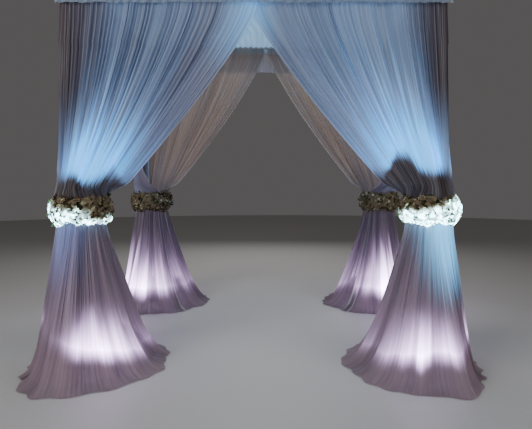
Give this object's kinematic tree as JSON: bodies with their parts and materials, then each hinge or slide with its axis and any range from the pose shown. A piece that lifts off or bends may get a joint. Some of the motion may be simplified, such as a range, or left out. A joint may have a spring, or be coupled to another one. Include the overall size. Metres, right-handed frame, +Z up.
{
  "type": "wedding arch",
  "caption": "Free-standing wedding arch: sheer drapes swept to corner posts and tied under bands of white flowers, flared skirts, and a pleated cloth over a pipe frame.",
  "frame": {"origin": "on the floor, at the middle of the arch", "axes": "+X to the right seen from the front, +Y from the front to the rear, +Z up"},
  "size_m": [3.08, 2.99, 2.7357],
  "materials": {
    "frame_pipe": "brushed, clear coated",
    "base_steel": "pale grey powder coat",
    "sheer_drape": "sheer white voile",
    "ceiling_voile": "sheer white voile in pleats",
    "tie_ribbon": "white satin",
    "white_blossom": "matte white petals with green leaves",
    "uplight_case": "black moulded"
  },
  "bodies": {
    "root": {"base_plate_front_left": "base_steel", "lower_upright_front_left": "frame_pipe", "upper_upright_front_left": "frame_pipe", "corner_head_front_left": "frame_pipe", "front_left_drape": "sheer_drape", "left_front_drape": "sheer_drape", "tie_front_left": "tie_ribbon", "flower_band_front_left": "white_blossom", "uplight_front_left": "uplight_case", "base_plate_front_right": "base_steel", "lower_upright_front_right": "frame_pipe", "upper_upright_front_right": "frame_pipe", "corner_head_front_right": "frame_pipe", "front_right_drape": "sheer_drape", "right_front_drape": "sheer_drape", "tie_front_right": "tie_ribbon", "flower_band_front_right": "white_blossom", "uplight_front_right": "uplight_case", "base_plate_rear_left": "base_steel", "lower_upright_rear_left": "frame_pipe", "upper_upright_rear_left": "frame_pipe", "corner_head_rear_left": "frame_pipe", "rear_left_drape": "sheer_drape", "left_rear_drape": "sheer_drape", "tie_rear_left": "tie_ribbon", "flower_band_rear_left": "white_blossom", "uplight_rear_left": "uplight_case", "base_plate_rear_right": "base_steel", "lower_upright_rear_right": "frame_pipe", "upper_upright_rear_right": "frame_pipe", "corner_head_rear_right": "frame_pipe", "rear_right_drape": "sheer_drape", "right_rear_drape": "sheer_drape", "tie_rear_right": "tie_ribbon", "flower_band_rear_right": "white_blossom", "uplight_rear_right": "uplight_case", "front_rail": "frame_pipe", "rear_rail": "frame_pipe", "left_rail": "frame_pipe", "right_rail": "frame_pipe", "ceiling_cloth": "ceiling_voile"}
  },
  "joints": []
}
